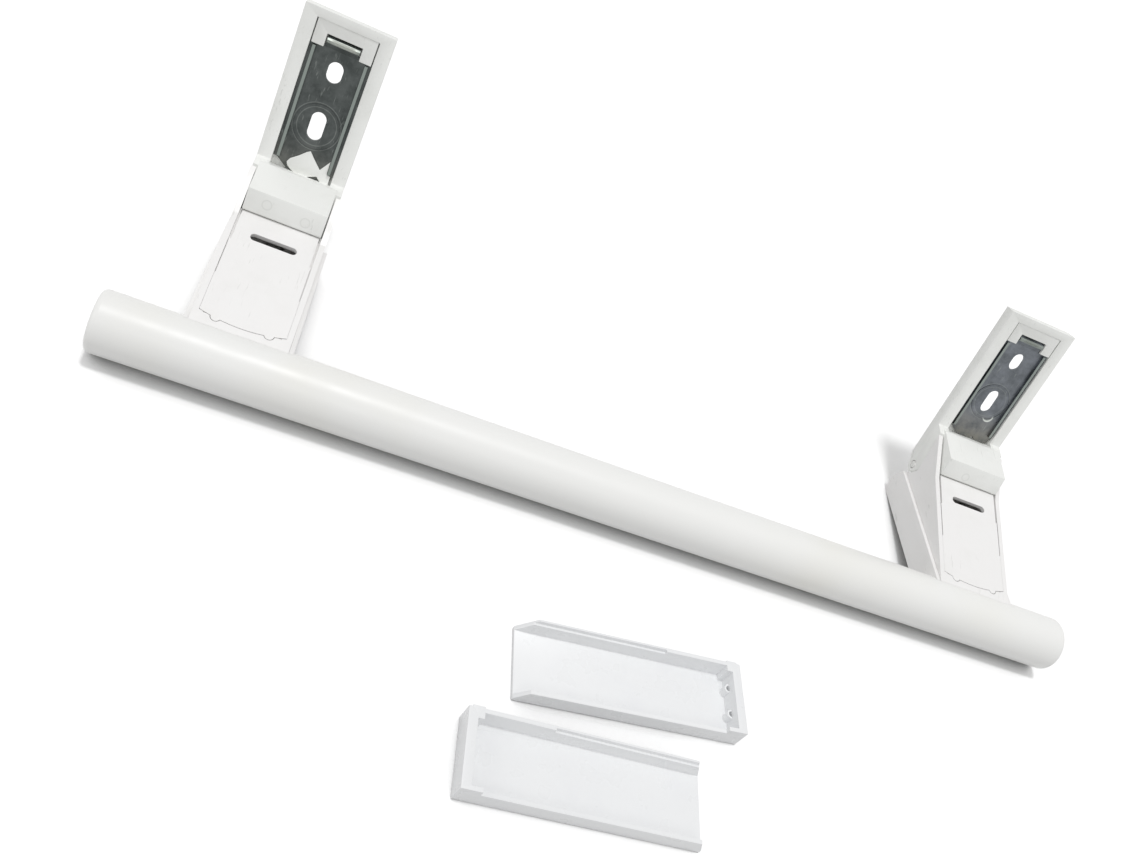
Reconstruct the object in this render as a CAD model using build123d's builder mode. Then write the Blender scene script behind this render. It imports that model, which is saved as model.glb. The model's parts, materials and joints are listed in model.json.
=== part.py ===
from build123d import *
import os
from math import atan2, cos, radians, sin, tan

# Refrigerator door handle, lying on a table as its photograph shows it.
# X runs along the grip bar, Y towards the bases, Z up from the table. Millimetres.

# Grip bar
bar_length = 310.0
bar_diameter = 17.4
bar_wall = 1.8
cap_head = 3.0
cap_spigot = 9.0
cap_spigot_wall = 1.6
cap_edge_radius = 1.6
bracket_inset = 35.1  # from each end of the bar

# Clearances
snug = 0.02  # pressed or screwed together
running = 0.05  # pin in its hole
clip_gap = 0.05  # pieces clipped together
side_gap = 0.4  # hinged pieces, side by side
travel_gap = 0.4  # hinged pieces, along the swing

# Hinge
pivot_reach = 55.3  # from the bar's axis
pivot_height = 13.8
base_lean = 69.0  # degrees, base against the table
pin_diameter = 3.0
pin_chamfer = 0.3

# Base channel, measured along the base (u) and out of its front (n) from the hinge
base_back = 4.8
base_rim = -0.3
base_floor = 2.1
base_wall = 4.1
cheek_out = 3.6  # of the walls beside the block
cheek_rise = 0.5  # over the block's top
channel_top = 62.3
end_wall = 2.4
rim_taper_end = 1.1  # under the block's back
ear_corner_up = 0.5
ear_corner_out = 4.6
ear_radius = 2.9
window_edge = 1.45  # in from the plate's sides
window_bottom_inset = 4.6  # in from the plate's ends
window_top_inset = 1.4

# Block in front of the channel
block_underside = 5.2
block_foot_out = 14.9
block_foot_rise = 0.5
block_nose_in = 0.6  # back from the foot
block_nose_rise = 6.7
block_top_out = 3.05
block_top_rise = 11.4
block_back_slant = 1.0
block_edge_radius = 0.5
pocket_wall = 2.2

# Tongue at the channel's top end
tongue_drop = 0.1  # below the rim
tongue_slit = 0.35
tongue_root = 2.7  # down from the channel's top
tongue_length = 5.9  # down from the channel's top
prong_length = 9.6  # down from the channel's top
prong_width = 3.5

# Steel mounting plate
plate_thickness = 1.2
plate_inset = 0.1  # in from the channel's walls
plate_bottom_gap = 0.5  # above the block's back
plate_overlap = 0.7  # under the prongs
plate_corner = 2.4
plate_notch = 1.0
rib_height = 1.0
rib_width = 0.85
rib_inset = 0.9  # in from the plate's sides
rib_bottom_inset = 2.8
rib_top_inset = 1.2
lip_side_gap = 0.4
lip_rise = 1.3
lip_run = 2.2
slot_width = 4.3
short_slot_length = 6.1
long_slot_length = 8.5
slot_spacing = 16.1
long_slot_rise = 14.2  # over the block's top
ring_diameter = 13.6
ring_width = 0.4
ring_depth = 0.15

# Outer shell of the arm, side outline from the bar's axis
shell_width = 29.6
shell_wall = 1.35
rim_front_drop = 0.4  # under the bar's top
rim_back_inset = 1.4  # before the hinge
rim_back_drop = 3.4  # under the hinge
heel_bulge = 1.0  # past the hinge
heel_bulge_drop = 8.6  # under the hinge
heel_front = 3.3  # before the hinge
heel_back = 1.3  # before the hinge
sole_front_height = 6.3
heel_bulge_radius = 2.6
heel_edge_radius = 1.0

# Inner body of the arm
core_wall = 1.6
lip_reach = 6.3  # from the bar's axis
lip_drop = 0.5  # under the bar's top
foot_gap = 1.0  # between the block's foot and the top
ear_foot_inset = 13.3  # before the hinge
ear_peak_up = 15.2
core_floor = 1.4
core_front_wall = 2.4
core_ledge = 1.2
lug_radius = 3.35
lug_web_inset = 9.8  # before the hinge
lug_web_wall = 1.2

# Lid of the arm, lengths along its own slope from the bar's axis
panel_thickness = 1.4
panel_front_inset = 1.4  # in from the bar's side
panel_bow = 0.9
panel_overlap = 0.4  # behind the block's foot
panel_front_gap = 0.05
panel_middle_gap = 0.3
panel_back_gap = 0.7
panel_middle_inset = 23.4  # before the panel's back
panel_step_inset = 11.0
pry_slot_inset = 7.8
pry_slot_width = 2.4
pry_slot_edge = 5.2  # in from the arm's inner walls
tab_inset = 4.6  # in from the arm's inner walls
tab_radius = 1.3
lip_gap = 0.2

# Screw that holds the arm on the bar, and its insert
screw_angle = 14.0
screw_diameter = 3.4
screw_head_diameter = 5.8
screw_head_height = 2.4
screw_boss_diameter = 8.0
screw_boss_height = 3.9
screw_depth = 6.3  # into the bar
drive_size = 2.5
drive_depth = 1.4
insert_diameter = 5.0
insert_collar = 6.6
insert_depth = 5.5  # into the bar
insert_collar_height = 2.0

# Torn flake left on one base, as shares of its width and height
flake_width = 13.0
flake_height = 7.9
flake_side = 1.75  # off the middle
flake_thickness = 0.5
flake_outline = [
    (-0.21, 0.0),
    (-0.35, 0.06),
    (-0.46, 0.18),
    (-0.5, 0.31),
    (-0.45, 0.47),
    (-0.29, 0.69),
    (-0.15, 0.92),
    (-0.08, 1.0),
    (0.04, 0.78),
    (0.23, 0.46),
    (0.35, 0.77),
    (0.4, 0.9),
    (0.405, 0.4),
    (0.49, 0.36),
    (0.5, 0.0),
    (0.33, 0.0),
    (0.21, 0.18),
    (-0.03, 0.0),
]

# Return spring round the hinge pin
wire_diameter = 0.8
coil_radius = 2.5
coil_turns = 2.975
coil_pitch = 0.95
base_leg = 8.6
arm_leg = 11.2

# Loose covers
cover_length = 65.5
cover_width = 20.7
cover_height = 7.0
cover_wall = 1.2
cover_end_wall = 2.6
cover_edge_radius = 0.35
front_wall_drop = 1.8
corner_length = 5.6
corner_thickening = 1.6
ledge_start = 23.0
ledge_depth = 0.6
ledge_drop = 1.3
hook_radius = 1.3
hook_wall = 0.5
hook_spacing = 7.6
hook_height = 3.0

# Derived places
bar_radius = bar_diameter / 2
bar_bore = bar_radius - bar_wall
lean = radians(base_lean)
along_y = cos(lean)
along_z = sin(lean)
back_reach = pivot_reach + channel_top * along_y + base_back * along_z
bracket_spacing = bar_length - 2 * bracket_inset
screw_seat = bar_radius + screw_boss_height
screw_tip = bar_radius - screw_depth
insert_tip = bar_radius - insert_depth
spring_half_room = coil_pitch * coil_turns / 2 + 2 * wire_diameter

# Half widths, from the shell's inside inwards
core_outer = shell_width / 2 - shell_wall - clip_gap
core_inner = core_outer - core_wall
block_half_width = core_inner - side_gap
base_outer = shell_width / 2 - shell_wall - side_gap
base_inner = base_outer - base_wall
lug_half_width = base_inner - side_gap
plate_half_width = base_inner - plate_inset
window_half_width = plate_half_width - window_edge
tongue_half_width = base_inner - tongue_slit
prong_inner = tongue_half_width - prong_width
lip_half_width = prong_inner - lip_side_gap

# Heights along the base
block_foot_up = block_underside + block_foot_rise
block_nose_up = block_underside + block_nose_rise
block_nose_out = block_foot_out - block_nose_in
block_top_up = block_underside + block_top_rise
rim_taper_start = block_top_up - rim_taper_end
plate_bottom = block_top_up - block_back_slant + plate_bottom_gap
prong_end = channel_top - prong_length
tongue_face = channel_top - tongue_length
plate_top = prong_end + plate_overlap
window_bottom = plate_bottom + window_bottom_inset
window_top = plate_top - window_top_inset
long_slot_up = block_top_up + long_slot_rise
short_slot_up = long_slot_up + slot_spacing
floor_front = -base_back + base_floor
plate_back = floor_front + snug
plate_front = plate_back + plate_thickness


def arm_spot(up, out):
    """A base point (u, n) given in the arm's side plane."""
    return (pivot_reach + up * along_y - out * along_z, pivot_height + up * along_z + out * along_y)


# Reaches and heights along the arm
rim_front_height = bar_diameter - rim_front_drop
rim_back_reach = pivot_reach - rim_back_inset
rim_back_height = pivot_height - rim_back_drop
heel_bulge_height = pivot_height - heel_bulge_drop
block_foot = arm_spot(block_foot_up, block_foot_out)
lip_height = bar_diameter - lip_drop
top_rise = block_foot[1] - foot_gap - lip_height
slope = atan2(top_rise, block_foot[0] - lip_reach)
top_height = lip_height - lip_reach * tan(slope)
ear_foot_reach = pivot_reach - ear_foot_inset
lug_web_front = pivot_reach - lug_web_inset
panel_front = bar_radius - panel_front_inset
panel_back = (block_foot[0] + panel_overlap) / cos(slope)
panel_middle = panel_back - panel_middle_inset
panel_step = panel_back - panel_step_inset
pry_slot_at = panel_back - pry_slot_inset
pry_slot_length = 2 * (core_inner - pry_slot_edge)
tab_spacing = 2 * (core_inner - tab_inset)

# Loose covers: front left corner from the bar's axis, turn, closed end, slant of the open end
upper_cover_spot = (-27.8, 68.4)
lower_cover_spot = (-39.8, 97.05)
upper_cover_turn = 4.5
lower_cover_turn = 1.6
upper_cover_slant = 5.0
lower_cover_slant = 2.6

# The origin is under the middle of everything, so the bar's axis lies off it
bar_y = (lower_cover_spot[1] - back_reach) / 2
pivot_y = bar_y + pivot_reach
sides = {"left": -bracket_spacing / 2, "right": bracket_spacing / 2}


def arm_plane(x):
    return Plane(origin=(x, bar_y, 0), x_dir=(0, 1, 0), z_dir=(1, 0, 0))


def base_side_plane(x):
    return Plane(origin=(x, pivot_y, pivot_height), x_dir=(0, along_y, along_z), z_dir=(1, 0, 0))


def base_face_plane(x, out):
    face = Plane(origin=(x, pivot_y, pivot_height), x_dir=(1, 0, 0), z_dir=(0, -along_z, along_y))
    return face.offset(out)


def top_plane(x, depth=0.0):
    top = Plane(origin=(x, bar_y, top_height), x_dir=(1, 0, 0), z_dir=(0, -sin(slope), cos(slope)))
    return top.offset(-depth)


def screw_plane(x, out):
    tilt = radians(screw_angle)
    axis = Plane(origin=(x, bar_y, bar_radius), x_dir=(1, 0, 0), z_dir=(0, cos(tilt), sin(tilt)))
    return axis.offset(out)


def top_at(reach):
    return top_height + reach * tan(slope)


def rim_at(reach):
    fall = (rim_front_height - rim_back_height) / rim_back_reach
    return rim_front_height - fall * reach


def save(part, name):
    part.label = name
    export_step(part, f"parts/{name}.step")


os.makedirs("parts", exist_ok=True)

# Grip bar: a tube with one insert hole for each arm
with BuildPart() as handle_bar:
    with BuildSketch(Plane.YZ.offset(-bar_length / 2 + cap_head)):
        with Locations((bar_y, bar_radius)):
            Circle(bar_radius)
            Circle(bar_bore, mode=Mode.SUBTRACT)
    extrude(amount=bar_length - 2 * cap_head)
    for x in sides.values():
        with BuildSketch(screw_plane(x, 0)):
            Circle(insert_diameter / 2 + snug)
        extrude(amount=bar_diameter, mode=Mode.SUBTRACT)
save(handle_bar.part, "handle_bar")


def bar_cap(side):
    end = bar_length / 2
    with BuildPart() as cap:
        with BuildSketch(Plane.YZ.offset(side * end)):
            with Locations((bar_y, bar_radius)):
                Circle(bar_radius)
        extrude(amount=-side * cap_head)
        rim = cap.edges().filter_by(GeomType.CIRCLE).group_by(Axis.X)[0 if side < 0 else -1]
        fillet(rim, cap_edge_radius)
        with BuildSketch(Plane.YZ.offset(side * (end - cap_head))):
            with Locations((bar_y, bar_radius)):
                Circle(bar_bore - snug)
                Circle(bar_bore - snug - cap_spigot_wall, mode=Mode.SUBTRACT)
        extrude(amount=-side * cap_spigot)
    return cap.part


save(bar_cap(-1), "left_bar_cap")
save(bar_cap(1), "right_bar_cap")


def tray_outline(top):
    """Side outline of the arm's shell, carried on past the bar and up to the given height."""
    bulge = pivot_reach + heel_bulge
    lean_in = (bulge - rim_back_reach) / (rim_back_height - heel_bulge_height)
    back_top = bulge - lean_in * (top - heel_bulge_height)
    heel_start = pivot_reach - heel_front
    behind_bar = -bar_radius
    sole = sole_front_height * (heel_start - behind_bar) / heel_start
    return [
        (behind_bar, top),
        (back_top, top),
        (bulge, heel_bulge_height),
        (pivot_reach - heel_back, 0),
        (heel_start, 0),
        (behind_bar, sole),
    ]


def tray_face(top, inset):
    """Sketch face of the tray, all round inside the outline by the inset."""
    with BuildSketch() as tray:
        with BuildLine():
            FilletPolyline(
                *tray_outline(top),
                radius=[0, 0, heel_bulge_radius, heel_edge_radius, 0, 0],
                close=True,
            )
        make_face()
        if inset:
            offset(amount=-inset, kind=Kind.INTERSECTION, mode=Mode.REPLACE)
    return tray.sketch


def above_rim(drop):
    """Polygon above the shell's rim line, in the arm's side plane."""
    high = 6 * rim_front_height
    return [
        (-bar_diameter, rim_at(-bar_diameter) - drop),
        (pivot_reach + bar_diameter, rim_at(pivot_reach + bar_diameter) - drop),
        (pivot_reach + bar_diameter, high),
        (-bar_diameter, high),
    ]


def lever_shell(x):
    high = 2 * rim_front_height
    with BuildPart() as shell:
        with BuildSketch(arm_plane(x)):
            add(tray_face(high, 0))
            with BuildLine():
                Polyline(*above_rim(0), close=True)
            make_face(mode=Mode.SUBTRACT)
        extrude(amount=shell_width / 2, both=True)
        with BuildSketch(arm_plane(x)):
            add(tray_face(2 * high, shell_wall))
            with Locations((-bar_radius / 2, bar_radius)):
                Rectangle(bar_diameter, 2 * high)
        extrude(amount=shell_width / 2 - shell_wall, both=True, mode=Mode.SUBTRACT)
        with BuildSketch(arm_plane(x)):
            with Locations((0, bar_radius)):
                Circle(bar_radius + snug)
            with Locations((-bar_radius, bar_radius)):
                Rectangle(bar_diameter, 2 * bar_diameter)
        extrude(amount=shell_width, both=True, mode=Mode.SUBTRACT)
    return shell.part


def base_side_face():
    """Side outline of the base's channel and of its rounded hinge ears, in base lengths."""
    with BuildSketch() as outline:
        with BuildLine():
            Polyline(
                (channel_top, -base_back),
                (channel_top, base_rim),
                (block_top_up + cheek_rise, base_rim),
                (rim_taper_start, cheek_out),
                (ear_corner_up, ear_corner_out),
                (-ear_radius * cos(radians(45)), ear_radius * sin(radians(45))),
                (0, -ear_radius),
                (ear_radius, -base_back),
                close=True,
            )
        make_face()
        Circle(ear_radius)
    return outline.sketch


def core_side_face():
    """Side outline of the arm's inner body: the tray's inside, the top and the two ears."""
    bulge = pivot_reach + heel_bulge
    wall_lean = atan2(bulge - rim_back_reach, rim_back_height - heel_bulge_height)
    back = rim_back_reach - (shell_wall + clip_gap) / cos(wall_lean) - clip_gap
    with BuildSketch() as outline:
        add(tray_face(4 * rim_front_height, shell_wall + clip_gap))
        with BuildLine():
            Polyline(*above_rim(clip_gap), close=True)
        make_face(mode=Mode.SUBTRACT)
        with BuildLine():
            Polyline(
                (0, top_at(0)),
                (ear_foot_reach, top_at(ear_foot_reach)),
                arm_spot(ear_peak_up, cheek_out),
                (pivot_reach, pivot_height),
                (rim_back_reach, rim_at(rim_back_reach) + ear_radius / 2),
                (rim_back_reach, rim_at(rim_back_reach) + clip_gap),
                (back, rim_at(back) + clip_gap),
                (back, rim_at(back) - lug_radius),
                (0, rim_at(back) - lug_radius),
                close=True,
            )
        make_face()
        with BuildSketch(mode=Mode.PRIVATE) as swing_room:
            add(base_side_face())
            offset(amount=travel_gap)
        spin = Location((pivot_reach, pivot_height), base_lean)
        add(swing_room.sketch.moved(spin), mode=Mode.SUBTRACT)
    return outline.sketch


def lid_face(half_width, front, tab):
    """Lid outline with its bowed front edge and two round tabs, on the top's plane."""
    with BuildSketch() as outline:
        with BuildLine():
            bow = ThreePointArc(
                (-half_width, front + panel_bow),
                (0, front - panel_bow),
                (half_width, front + panel_bow),
            )
            Polyline(bow @ 1, (half_width, panel_back), (-half_width, panel_back), bow @ 0)
        make_face()
        with Locations((-tab_spacing / 2, panel_front), (tab_spacing / 2, panel_front)):
            Circle(tab)
    return outline.sketch


def lever_core(x):
    with BuildPart() as core:
        with BuildSketch(arm_plane(x)):
            add(core_side_face())
        extrude(amount=core_outer, both=True)
        # Inside of the box, in front of the lugs
        with BuildSketch(arm_plane(x)):
            add(tray_face(4 * rim_front_height, shell_wall + clip_gap + core_floor))
            with Locations((0, bar_radius)):
                Circle(bar_radius + core_front_wall, mode=Mode.SUBTRACT)
            with Locations((lug_web_front + bar_diameter, bar_radius)):
                Rectangle(2 * bar_diameter, 8 * bar_diameter, mode=Mode.SUBTRACT)
        extrude(amount=core_inner - core_ledge, both=True, mode=Mode.SUBTRACT)
        # Seat of the lid
        with BuildSketch(top_plane(x, panel_thickness + snug)):
            add(lid_face(core_inner, panel_front - lip_gap, tab_radius + lip_gap))
            with Locations((0, panel_back)):
                Rectangle(2 * core_inner, 2 * ear_foot_inset)
        extrude(amount=2 * bar_diameter, mode=Mode.SUBTRACT)
        # Room for the base's block and ears
        with BuildSketch(arm_plane(x)):
            add(tray_face(4 * rim_front_height, shell_wall + clip_gap + core_floor))
            with Locations((lug_web_front - 4 * bar_diameter, bar_radius)):
                Rectangle(8 * bar_diameter, 8 * bar_diameter, mode=Mode.SUBTRACT)
            with Locations((pivot_reach, pivot_height + bar_diameter)):
                Rectangle(2 * (pivot_reach - lug_web_front), 2 * bar_diameter)
        extrude(amount=core_inner, both=True, mode=Mode.SUBTRACT)
        # Two lugs on their web, with the spring between them
        with BuildSketch(arm_plane(x)):
            with Locations((pivot_reach, pivot_height)):
                Circle(lug_radius)
            with BuildLine():
                Polyline(
                    (lug_web_front, 2 * shell_wall + core_floor),
                    (pivot_reach - lug_radius, 2 * shell_wall + core_floor),
                    (rim_back_reach - 2 * shell_wall, rim_back_height + snug),
                    (pivot_reach, pivot_height - lug_radius / 2),
                    (pivot_reach - lug_radius / 2, pivot_height + lug_radius * 0.8),
                    (pivot_reach - lug_radius, pivot_height),
                    close=True,
                )
            make_face()
        extrude(amount=lug_half_width, both=True)
        with BuildSketch(arm_plane(x)):
            with Locations((pivot_reach, pivot_height)):
                Circle(coil_radius + wire_diameter + side_gap)
            with BuildLine():
                Polyline(
                    (lug_web_front + lug_web_wall, 2 * shell_wall + core_floor),
                    (pivot_reach, 2 * shell_wall + core_floor),
                    (pivot_reach, pivot_height + lug_radius + snug),
                    (lug_web_front + lug_web_wall, pivot_height + lug_radius + snug),
                    close=True,
                )
            make_face()
        extrude(amount=spring_half_room, both=True, mode=Mode.SUBTRACT)
        with BuildSketch(arm_plane(x)):
            with Locations((pivot_reach, pivot_height)):
                Circle(pin_diameter / 2 + snug)
        extrude(amount=lug_half_width + side_gap / 2, both=True, mode=Mode.SUBTRACT)
        # Boss for the screw, saddle on the bar and screw hole
        with BuildSketch(screw_plane(x, bar_radius)):
            Circle(screw_boss_diameter / 2)
        extrude(amount=screw_seat - bar_radius)
        with BuildSketch(arm_plane(x)):
            with Locations((0, bar_radius)):
                Circle(bar_radius + snug)
            with Locations((-bar_diameter, bar_radius)):
                Rectangle(2 * bar_diameter, 8 * bar_diameter)
        extrude(amount=shell_width, both=True, mode=Mode.SUBTRACT)
        with BuildSketch(screw_plane(x, 0)):
            Circle(screw_diameter / 2 + snug)
        extrude(amount=2 * screw_seat, mode=Mode.SUBTRACT)
    return core.part


def lever_panel(x):
    with BuildPart() as panel:
        with BuildSketch(top_plane(x, panel_thickness)):
            add(lid_face(core_inner - panel_front_gap, panel_front, tab_radius))
            # The side slits grow wider towards the back in two steps
            for start, gap in ((panel_middle, panel_middle_gap), (panel_step, panel_back_gap)):
                with Locations((-core_inner, start), (core_inner, start)):
                    Rectangle(2 * gap, 2 * panel_back, align=(Align.CENTER, Align.MIN), mode=Mode.SUBTRACT)
            with Locations((0, pry_slot_at)):
                SlotOverall(pry_slot_length, pry_slot_width, mode=Mode.SUBTRACT)
        extrude(amount=panel_thickness)
    return panel.part


def bar_screw(x):
    with BuildPart() as screw:
        with BuildSketch(screw_plane(x, screw_tip)):
            Circle(screw_diameter / 2)
        extrude(amount=screw_seat + screw_head_height / 2 - screw_tip)
        with BuildSketch(screw_plane(x, screw_seat + snug)):
            Circle(screw_head_diameter / 2)
        extrude(amount=screw_head_height)
        top_edge = screw.edges().filter_by(GeomType.CIRCLE).sort_by(screw_axis())[-1]
        fillet(top_edge, screw_head_height / 4)
        with BuildSketch(screw_plane(x, screw_seat + screw_head_height + snug)):
            RegularPolygon(drive_size / 2, 6, major_radius=False)
        extrude(amount=-drive_depth, mode=Mode.SUBTRACT)
    return screw.part


def screw_axis():
    tilt = radians(screw_angle)
    return Axis((0, bar_y, bar_radius), (0, cos(tilt), sin(tilt)))


def bar_insert(x):
    collar_top = (bar_bore**2 - (insert_collar / 2) ** 2) ** 0.5 - snug
    with BuildPart() as insert:
        with BuildSketch(screw_plane(x, insert_tip)):
            Circle(insert_diameter / 2)
        extrude(amount=bar_radius - insert_tip)
        with BuildSketch(screw_plane(x, collar_top)):
            Circle(insert_collar / 2)
        extrude(amount=-insert_collar_height)
        with BuildSketch(arm_plane(x)):
            with Locations((0, bar_radius)):
                Circle(bar_radius - snug)
        extrude(amount=insert_collar, both=True, mode=Mode.INTERSECT)
        with BuildSketch(screw_plane(x, 0)):
            Circle(screw_diameter / 2 + snug)
        extrude(amount=bar_diameter, mode=Mode.SUBTRACT)
    return insert.part


def hinge_pin(x):
    with BuildPart() as pin:
        with BuildSketch(base_side_plane(x)):
            Circle(pin_diameter / 2)
        extrude(amount=base_outer - snug, both=True)
        chamfer(pin.edges().filter_by(GeomType.CIRCLE), pin_chamfer)
    return pin.part


def return_spring(x):
    """Torsion spring: its first leg lies in the base's block, its last leg behind the arm's web."""
    height = coil_pitch * coil_turns
    coil_plane = Plane(
        origin=(x - height / 2, pivot_y, pivot_height),
        x_dir=(0, -along_z, along_y),
        z_dir=(1, 0, 0),
    )
    coil = coil_plane * Helix(pitch=coil_pitch, height=height, radius=coil_radius)
    with BuildPart() as spring:
        with BuildSketch(Plane(origin=coil @ 0, z_dir=coil % 0)):
            Circle(wire_diameter / 2)
        sweep(path=coil)
        extrude(spring.faces().sort_by_distance(coil @ 0)[0], amount=base_leg)
        extrude(spring.faces().sort_by_distance(coil @ 1)[0], amount=arm_leg)
    return spring.part


def base_housing(x, torn):
    with BuildPart() as housing:
        with BuildSketch(base_side_plane(x)):
            add(base_side_face())
        extrude(amount=base_outer, both=True)
        with BuildSketch(base_side_plane(x)):
            with BuildLine():
                Polyline(
                    (block_top_up - block_back_slant, floor_front),
                    (block_top_up, block_top_out),
                    (block_nose_up, block_nose_out),
                    (block_foot_up, block_foot_out),
                    (block_underside, block_foot_out - block_foot_rise),
                    (block_underside, floor_front),
                    close=True,
                )
            make_face()
        extrude(amount=block_half_width, both=True)
        nose_edges = housing.edges().filter_by(Axis.X).sort_by(Axis.Y)
        fillet(nose_edges[0:2], block_edge_radius)
        # Channel behind the plate, from the block to the end wall
        with BuildSketch(base_side_plane(x)):
            with BuildLine():
                Polyline(
                    (block_top_up - block_back_slant, floor_front),
                    (block_top_up, block_top_out),
                    (block_top_up, bar_diameter),
                    (channel_top - end_wall, bar_diameter),
                    (channel_top - end_wall, floor_front),
                    close=True,
                )
            make_face()
        extrude(amount=base_inner, both=True, mode=Mode.SUBTRACT)
        # Gap between the two hinge ears
        with BuildSketch(base_side_plane(x)):
            with Locations((block_underside - ear_radius * 2, 0)):
                Rectangle(ear_radius * 4, base_back * 4)
        extrude(amount=base_inner, both=True, mode=Mode.SUBTRACT)
        # Hollow of the block and room for the spring's leg, both open below
        with BuildSketch(base_face_plane(x, cheek_out + pocket_wall)):
            with Locations((0, block_underside)):
                Rectangle(
                    2 * (block_half_width - pocket_wall),
                    2 * (block_nose_up - block_underside - pocket_wall),
                )
        extrude(amount=block_nose_out - cheek_out - 2 * pocket_wall, mode=Mode.SUBTRACT)
        leg_wall = coil_radius + wire_diameter / 2 + snug
        with BuildSketch(base_face_plane(x, leg_wall)):
            with Locations((0, block_underside)):
                Rectangle(
                    2 * spring_half_room,
                    2 * (base_leg + 1 - block_underside),
                )
        extrude(amount=-leg_wall - wire_diameter, mode=Mode.SUBTRACT)
        # Window behind the plate's slots
        with BuildSketch(base_face_plane(x, -base_back)):
            with Locations((0, (window_bottom + window_top) / 2)):
                Rectangle(2 * window_half_width, window_top - window_bottom)
        extrude(amount=base_floor, mode=Mode.SUBTRACT)
        # Tongue with its two prongs over the plate's end
        prong_back = plate_front + snug
        with BuildSketch(base_face_plane(x, prong_back)):
            with Locations((0, (tongue_face + channel_top) / 2)):
                Rectangle(2 * tongue_half_width, channel_top - tongue_face)
            prong_middle = tongue_half_width - prong_width / 2
            with Locations(
                (-prong_middle, (prong_end + channel_top) / 2),
                (prong_middle, (prong_end + channel_top) / 2),
            ):
                Rectangle(prong_width, channel_top - prong_end)
        extrude(amount=base_rim - tongue_drop - prong_back)
        with BuildSketch(base_face_plane(x, prong_back)):
            with Locations((0, channel_top - tongue_root / 2)):
                Rectangle(2 * base_inner, tongue_root)
        extrude(amount=base_rim - prong_back)
        # Torn flake left on one base
        if torn:
            flake_foot = block_top_up - block_back_slant
            with BuildSketch(base_face_plane(x, prong_back)):
                with BuildLine():
                    Polyline(
                        *[
                            (flake_side + across * flake_width, flake_foot + up * flake_height)
                            for across, up in flake_outline
                        ],
                        close=True,
                    )
                make_face()
            extrude(amount=flake_thickness)
        # Pin holes
        with BuildSketch(base_side_plane(x)):
            Circle(pin_diameter / 2 + running)
        extrude(amount=shell_width, both=True, mode=Mode.SUBTRACT)
    return housing.part


def mounting_plate(x):
    with BuildPart() as plate:
        with BuildSketch(base_face_plane(x, plate_back)):
            with BuildLine():
                Polyline(
                    (-plate_half_width, plate_bottom + plate_corner),
                    (-plate_half_width, plate_top),
                    (plate_half_width, plate_top),
                    (plate_half_width, plate_bottom + plate_corner),
                    (plate_half_width - plate_notch, plate_bottom),
                    (3 * plate_notch, plate_bottom),
                    (2 * plate_notch, plate_bottom + plate_notch),
                    (plate_notch, plate_bottom),
                    (-plate_half_width / 2, plate_bottom),
                    (-plate_half_width + plate_notch, plate_bottom + plate_corner),
                    close=True,
                )
            make_face()
        extrude(amount=plate_thickness)
        # Stiffening ribs along its sides
        with BuildSketch(base_face_plane(x, plate_back)):
            rib_middle = plate_half_width - rib_inset - rib_width / 2
            rib_bottom = plate_bottom + rib_bottom_inset
            rib_top = plate_top - rib_top_inset
            with Locations(
                (-rib_middle, (rib_bottom + rib_top) / 2),
                (rib_middle, (rib_bottom + rib_top) / 2),
            ):
                Rectangle(rib_width, rib_top - rib_bottom)
        extrude(amount=plate_thickness + rib_height)
        # Bent lip at the top
        with BuildSketch(base_side_plane(x)):
            with BuildLine():
                Polyline(
                    (plate_top - plate_thickness, plate_back),
                    (plate_top + plate_thickness / 2, plate_back),
                    (plate_top + plate_thickness / 2 + lip_run, plate_back + lip_rise),
                    (plate_top - plate_thickness / 2 + lip_run, plate_front + lip_rise),
                    (plate_top - plate_thickness / 2, plate_front),
                    (plate_top - plate_thickness, plate_front),
                    close=True,
                )
            make_face()
        extrude(amount=lip_half_width, both=True)
        # Screw slots and the pressed ring round the long one
        with BuildSketch(base_face_plane(x, plate_back)):
            with Locations((0, long_slot_up)):
                SlotOverall(long_slot_length, slot_width, rotation=90)
            with Locations((0, short_slot_up)):
                SlotOverall(short_slot_length, slot_width, rotation=90)
        extrude(amount=plate_thickness, mode=Mode.SUBTRACT)
        with BuildSketch(base_face_plane(x, plate_front)):
            with Locations((0, long_slot_up)):
                Circle(ring_diameter / 2)
                Circle(ring_diameter / 2 - ring_width, mode=Mode.SUBTRACT)
        extrude(amount=-ring_depth, mode=Mode.SUBTRACT)
    return plate.part


for side, x in sides.items():
    save(lever_shell(x), f"{side}_lever_shell")
    save(lever_core(x), f"{side}_lever_core")
    save(lever_panel(x), f"{side}_lever_panel")
    save(bar_screw(x), f"{side}_bar_screw")
    save(bar_insert(x), f"{side}_bar_insert")
    save(hinge_pin(x), f"{side}_hinge_pin")
    save(return_spring(x), f"{side}_return_spring")
    save(base_housing(x, side == "left"), f"{side}_base_housing")
    save(mounting_plate(x), f"{side}_mounting_plate")


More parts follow.
